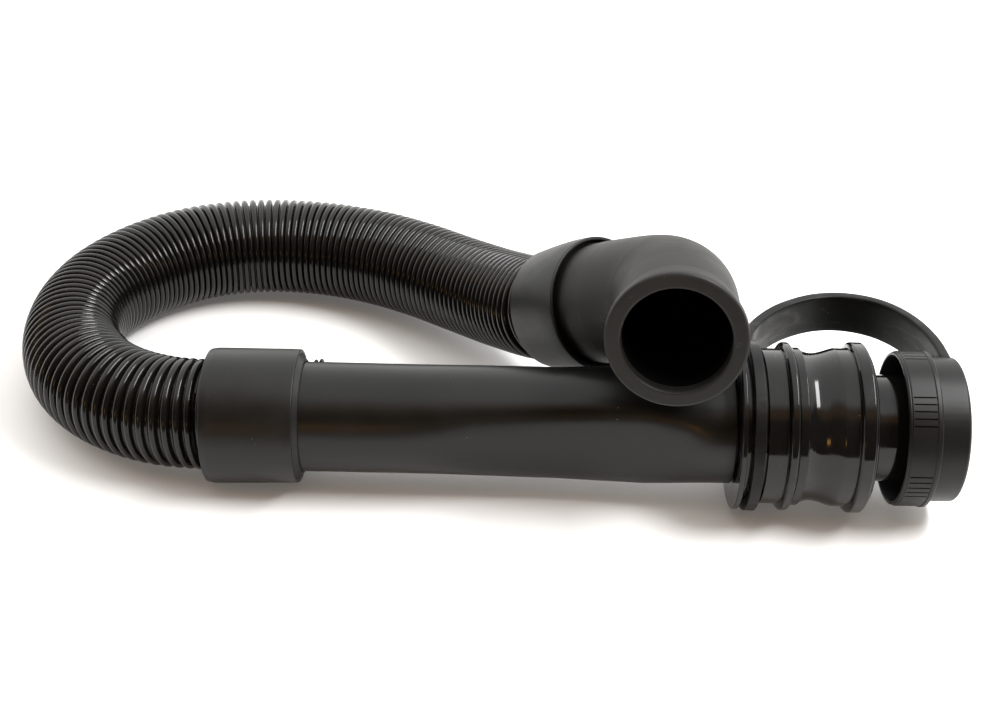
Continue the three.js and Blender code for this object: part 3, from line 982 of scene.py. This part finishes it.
def make_outlet_fitting():
    shank = TUBE_END_RADIUS - TUBE_WALL - GAP
    flange_end = FLANGE_START + 2.2 * MM
    groove = 31 * MM
    groove_end = RING_START + RING_WIDTH + 1.4 * MM
    shoulder = OUTLET_RADIUS + 0.55 * MM
    end_cylinder = OUTLET_RADIUS + 0.6 * MM
    fitting = lathe("outlet_fitting_gloss", [
        (80 * MM, OUTLET_BORE, 0.3 * MM),
        (80 * MM, shank - 1 * MM, 0.3 * MM),
        (82 * MM, shank, 0.5 * MM),
        (FLANGE_START, shank, 0.2 * MM),
        (FLANGE_START, FLANGE_RADIUS, 0.55 * MM),
        (flange_end, FLANGE_RADIUS, 0.55 * MM),
        (flange_end, groove, 0.25 * MM),
        (groove_end, groove, 0.25 * MM),
        (groove_end, OUTLET_RADIUS, 0.35 * MM),
        *bead(120.5 * MM, 2.0 * MM, OUTLET_RADIUS, FLANGE_RADIUS),
        (122.9 * MM, shoulder, 0.2 * MM),
        (126.2 * MM, shoulder, 0.45 * MM),
        *waist_corners(126.5 * MM, 140.6 * MM, OUTLET_RADIUS - 0.2 * MM, end_cylinder - 0.1 * MM, 1.7 * MM),
        (141 * MM, end_cylinder, 0.25 * MM),
        *bead(150.1 * MM, 3.1 * MM, end_cylinder, RING_RADIUS),
        (OUTLET_FACE - 0.5 * MM, end_cylinder - 0.3 * MM, 0.3 * MM),
        (OUTLET_FACE, end_cylinder - 0.9 * MM, 0.3 * MM),
        (OUTLET_FACE, NIPPLE_RADIUS, 0.8 * MM),
        (NIPPLE_END, NIPPLE_RADIUS, 1.1 * MM),
        (NIPPLE_END, OUTLET_BORE, 0.5 * MM),
    ], sides=180, longest=3 * MM)
    return finish_piece(fitting, "outlet_plastic", "root", "outlet_fitting")


def make_strap_ring():
    ring = lathe("strap_ring_moulding", [
        (RING_START, 31.4 * MM, 0.3 * MM),
        (RING_START, RING_RADIUS, 0.45 * MM),
        (RING_START + RING_WIDTH, RING_RADIUS, 0.45 * MM),
        (RING_START + RING_WIDTH, 31.4 * MM, 0.3 * MM),
    ], sides=160, warp=uneven(0.25 * MM, 30, 4.0))
    return finish_piece(ring, "tether_plastic", "tether", "strap_ring")


def strap_path():
    return Path([(x, y, 0) for x, y in catmull_rom_2d(STRAP_ROUTE)])


def catmull_rom_2d(route):
    return [(p.x, p.y) for p in catmull_rom([(x, y, 0) for x, y in route], 12)]


LOWER_EDGE_WIDER = 1.05
CAP_END_WIDER = 0.2


def make_strap_band():
    """The band: a flat section with rounded edges, cut short where it meets the ring and the cap."""
    path = strap_path()
    half_width = STRAP_WIDTH / 2
    half_thick = STRAP_THICKNESS / 2
    edge = 0.9 * MM
    section = []
    corners = ((1, 1), (-1, 1), (-1, -1), (1, -1))
    for quarter, (sx, sz) in enumerate(corners):
        for k in range(5):
            angle = math.pi / 2 * (quarter + k / 4)
            section.append((sx * (half_thick - edge) + edge * math.cos(angle),
                            sz * (half_width - edge) + edge * math.sin(angle)))
    section = subdivided(section, 2.5 * MM)
    stations = np.linspace(0.0, path.length, 110)
    point, tangent = path.sample(stations)[:2]
    vertices = []
    for i in range(len(stations)):
        sag = 0.35 * MM * math.sin(i * 0.09)
        for across, high in section:
            spot = Vector(point[i] + np.array((-tangent[i][1], tangent[i][0], 0)) * across)
            wider = LOWER_EDGE_WIDER + CAP_END_WIDER * i / len(stations) if high < 0 else 1
            spot.z = STRAP_HEIGHT + high * wider + sag
            vertices.append(cleared(spot))
    count = len(section)
    faces = []
    for i in range(len(stations) - 1):
        for j in range(count):
            k = (j + 1) % count
            faces.append((i * count + j, (i + 1) * count + j, (i + 1) * count + k, i * count + k))
    faces.append(tuple(range(count)))
    faces.append(tuple((len(stations) - 1) * count + j for j in reversed(range(count))))
    band = new_object("strap_band_moulding", [ARM @ v for v in vertices], faces, 40)
    finish_piece(band, "tether_plastic", None, "strap_band")
    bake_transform(band)
    return band


def cleared(spot):
    """Keeps the band's ends outside the ring and the cap's barrel."""
    ring_side = spot.x < OUTLET_FACE
    limit = (RING_RADIUS if ring_side else CAP_BARREL_RADIUS) + 0.05 * MM
    radius = math.hypot(spot.y, spot.z)
    if radius < limit and spot.y > 0:
        need = limit ** 2 - spot.z ** 2
        spot.y = math.sqrt(max(need, 0))
    return spot


GROUP_START = 133.7
GROUP_STEP = 60
GROOVE_STEP = 5.3
GRIP_GROOVES = [math.radians(GROUP_START + GROUP_STEP * group + GROOVE_STEP * line)
                for group in range(6) for line in range(-2, 3)]
GROOVE_DEEP = 0.8 * MM
GROOVE_HALF_WIDTH = math.radians(0.55)
GROOVE_START = CAP_START + 2.0 * MM
GROOVE_END = CAP_START + CAP_GRIP_LENGTH - 2.6 * MM


def grip_angles():
    """Even angles with a set of extra ones at each groove's sides."""
    angles = set()
    for groove in GRIP_GROOVES:
        for offset in (-1.6, -1.0, -0.8, 0.8, 1.0, 1.6):
            angles.add(round((groove + offset * GROOVE_HALF_WIDTH) % (2 * math.pi), 5))
    for step in range(180):
        angle = 2 * math.pi * step / 180
        if min(abs(angle - other) for other in angles) > math.radians(0.6):
            angles.add(round(angle, 5))
    return sorted(angles)


def grooved(spot, x, r, angle):
    """Cuts the thirty short grooves of the grip."""
    if not GROOVE_START <= x <= GROOVE_END or r < CAP_GRIP_RADIUS - 0.5 * MM:
        return spot
    offset = min(abs((angle - groove + math.pi) % (2 * math.pi) - math.pi) for groove in GRIP_GROOVES)
    if offset > 0.9 * GROOVE_HALF_WIDTH:
        return spot
    depth = GROOVE_DEEP / r
    return Vector((x, spot.y * (1 - depth), spot.z * (1 - depth)))


def make_cap():
    """Grip ring with an open mouth and short grooves in six groups, and a plain barrel."""
    end = CAP_START + CAP_LENGTH
    grip_end = CAP_START + CAP_GRIP_LENGTH
    mouth = 31.0 * MM
    floor = end - CAP_WALL
    barrel = CAP_BARREL_RADIUS + 0.4 * MM
    edge = 0.05 * MM
    cap = lathe("outlet_cap_moulding", [
        (floor, 0, 0),
        (floor, CAP_SOCKET, 0.3 * MM),
        (grip_end - 3 * MM, CAP_SOCKET, 0.4 * MM),
        (grip_end - 3 * MM, mouth - 1.2 * MM, 0.4 * MM),
        (CAP_START, mouth, 0.25 * MM),
        (CAP_START, mouth + 0.9 * MM, 0.3 * MM),
        (CAP_START + 0.7 * MM, CAP_GRIP_RADIUS - 0.3 * MM, 0.3 * MM),
        (CAP_START + 1.2 * MM, CAP_GRIP_RADIUS - 0.35 * MM, 0.15 * MM),
        (CAP_START + 1.5 * MM, CAP_GRIP_RADIUS, 0.2 * MM),
        (GROOVE_START - edge, CAP_GRIP_RADIUS, 0),
        (GROOVE_START + edge, CAP_GRIP_RADIUS, 0),
        (GROOVE_END - edge, CAP_GRIP_RADIUS, 0),
        (GROOVE_END + edge, CAP_GRIP_RADIUS, 0),
        (grip_end - 2.3 * MM, CAP_GRIP_RADIUS, 0.2 * MM),
        (grip_end - 2.1 * MM, CAP_GRIP_RADIUS + 0.35 * MM, 0.25 * MM),
        (grip_end - 0.4 * MM, CAP_GRIP_RADIUS + 0.3 * MM, 0.5 * MM),
        (grip_end, barrel + 0.9 * MM, 0.4 * MM),
        (grip_end + 0.4 * MM, barrel, 0.4 * MM),
        (end - 1 * MM, barrel - 0.1 * MM, 1.5 * MM),
        (end, barrel - 2.0 * MM, 1.6 * MM),
        (end + 0.1 * MM, 2.0 * MM, 0.4 * MM),
        (end + 0.8 * MM, 0, 0),
    ], longest=2.5 * MM, angles=grip_angles(), warp=grooved)
    return finish_piece(cap, "cap_plastic", "cap", "outlet_cap")


def make_gasket():
    floor = CAP_START + CAP_LENGTH - CAP_WALL
    gasket = lathe("cap_gasket_rubber", [
        (floor - 2 * MM, 0, 0),
        (floor - 2 * MM, CAP_SOCKET - 0.4 * MM, 0.5 * MM),
        (floor - 0.3 * MM, CAP_SOCKET - 0.4 * MM, 0.3 * MM),
        (floor - 0.3 * MM, 0, 0),
    ], sides=96)
    return finish_piece(gasket, "gasket_rubber", "cap", "cap_gasket")


# ---------------------------------------------------------------- rear cuff and elbow


def make_rear_cuff():
    length = REAR_CUFF_LENGTH
    profile = [(0, CUFF_SOCKET_RADIUS, 0)]
    steps = 12
    for i in range(steps + 1):
        t = i / steps
        flare = (REAR_RIM_RADIUS - REAR_CUFF_RADIUS) * (1 - (1 - t) ** 1.6)
        profile.append((t * (length - 1.2 * MM), REAR_CUFF_RADIUS + flare, 0.3 * MM if i == 0 else 0))
    profile += [
        (length, REAR_RIM_RADIUS - 0.1 * MM, 1.0 * MM),
        (length, SPIGOT_RADIUS + 2.2 * MM, 0.6 * MM),
        (length - 2.2 * MM, SPIGOT_RADIUS + 1.4 * MM, 0.5 * MM),
        (length - 2.6 * MM, SPIGOT_RADIUS + GAP, 0.3 * MM),
        (length - SPIGOT_LENGTH - 1 * MM, SPIGOT_RADIUS + GAP, 0),
        (length - SPIGOT_LENGTH - 1 * MM, HOSE_BORE, 0.3 * MM),
        (FERRULE_LENGTH + 1 * MM, HOSE_BORE, 0.3 * MM),
        (FERRULE_LENGTH + 1 * MM, CUFF_SOCKET_RADIUS, 0),
    ]
    cuff = lathe("rear_cuff_rubber", profile, frame_at(REAR_CUFF_START, REAR_AXIS),
                 warp=uneven(0.3 * MM, 40, 9.0), longest=2 * MM)
    return finish_piece(cuff, "cuff_rubber", "elbow_arm", "rear_cuff")


ELBOW_RIM_PULL = 44 * MM
ELBOW_MOUTH_PULL = 53 * MM
LIP_LENGTH = 6 * MM
ELBOW_SIDES = 128
MOUTH_POLISH = 5 * MM


def elbow_path():
    start = REAR_RIM + REAR_AXIS * GAP
    end = MOUTH - MOUTH_AXIS * LIP_LENGTH / 2
    bend = bezier(start, start + REAR_AXIS * ELBOW_RIM_PULL, end - MOUTH_AXIS * ELBOW_MOUTH_PULL, end, 60)
    before = [REAR_RIM - REAR_AXIS * SPIGOT_LENGTH * (1 - i / 12) for i in range(12)]
    after = [end + MOUTH_AXIS * LIP_LENGTH / 2 * (i + 1) / 4 for i in range(4)]
    return Path(before + bend + after)


def make_elbow():
    """Spigot, bend and lip in one skin. The lip has a fine groove behind it and a flat, chamfered face."""
    path = elbow_path()
    lip_start = path.length - LIP_LENGTH
    outer_line = [
        (0, SPIGOT_RADIUS - 0.8 * MM), (0.8 * MM, SPIGOT_RADIUS),
        (SPIGOT_LENGTH - 1 * MM, SPIGOT_RADIUS), (SPIGOT_LENGTH + 1.2 * MM, ELBOW_RADIUS + 0.1 * MM),
        (SPIGOT_LENGTH + 14 * MM, ELBOW_RADIUS + 0.6 * MM),
        (0.5 * path.length, ELBOW_RADIUS + 0.5 * MM),
        (0.7 * path.length, ELBOW_RADIUS - 0.5 * MM),
        (lip_start - 10 * MM, ELBOW_RADIUS - 0.8 * MM),
        (lip_start - 2.6 * MM, ELBOW_RADIUS - 0.2 * MM),
        (lip_start - 0.9 * MM, ELBOW_RADIUS + 0.5 * MM),
        (lip_start - 0.5 * MM, ELBOW_RADIUS + 0.1 * MM),
        (lip_start, ELBOW_RADIUS + 0.1 * MM),
        (lip_start + 0.4 * MM, LIP_RADIUS - 0.35 * MM),
        (lip_start + 1.2 * MM, LIP_RADIUS),
        (path.length - 1.5 * MM, LIP_RADIUS),
        (path.length - 0.5 * MM, LIP_RADIUS - 0.35 * MM),
        (path.length - 0.08 * MM, LIP_RADIUS - 1.1 * MM),
    ]
    inner_line = [
        (0, ELBOW_BORE), (path.length - 1.2 * MM, ELBOW_BORE - 0.3 * MM),
        (path.length - 0.35 * MM, ELBOW_BORE + 0.1 * MM), (path.length - 0.02 * MM, ELBOW_BORE + 0.8 * MM),
    ]
    fine = np.arange(0, path.length, 1.2 * MM)
    marks = [s for s, _ in outer_line] + [s for s, _ in inner_line] + [path.length]
    stations = np.unique(np.round(np.concatenate([fine, marks]), 6))
    outer = np.interp(stations, *zip(*outer_line))
    inner = np.interp(stations, *zip(*inner_line))
    outer[-1] = LIP_RADIUS - 1.6 * MM

    def warp(s, angle, radius):
        here = Vector((s * 45, math.cos(angle) * 1.3, math.sin(angle) * 1.3))
        calm = 0.2 if s > lip_start or s < SPIGOT_LENGTH else 1.0
        return radius + 0.22 * MM * calm * noise.noise(here)

    elbow = swept("elbow_rubber_skin", path, stations, outer, inner, sides=ELBOW_SIDES, warp=warp)
    finish_piece(elbow, "elbow_rubber", "elbow", "elbow")
    paint_bore_shade(elbow, stations, path.length - MOUTH_POLISH)
    return elbow


def paint_bore_shade(elbow, stations, bore_end):
    """The inner wall gets the painted shade of the dark bore material, up to just inside the mouth."""
    elbow.data.materials.append(MATERIALS["bore_painted_shade"])
    first = len(stations) * ELBOW_SIDES
    last = first + int(np.searchsorted(stations, bore_end)) * ELBOW_SIDES
    for polygon in elbow.data.polygons:
        if all(first <= corner < last for corner in polygon.vertices):
            polygon.material_index = 1


# ---------------------------------------------------------------- assembly

make_camera()
make_hose()
make_floor()
make_lights()
make_front_cuff()
make_ferrule("front_ferrule_sleeve", frame_at(ARM @ Vector((CUFF_START, 0, 0)), ARM_AXIS), "root",
             "front_hose_ferrule")
make_squeeze_tube()
make_outlet_fitting()
make_strap_ring()
make_strap_band()
make_cap()
make_gasket()
make_ferrule("rear_ferrule_sleeve", frame_at(REAR_CUFF_START, REAR_AXIS), "elbow_arm",
             "rear_hose_ferrule")
make_rear_cuff()
make_elbow()

bpy.context.scene.view_settings.view_transform = "Standard"
bpy.context.scene.view_settings.exposure = EXPOSURE_STOPS
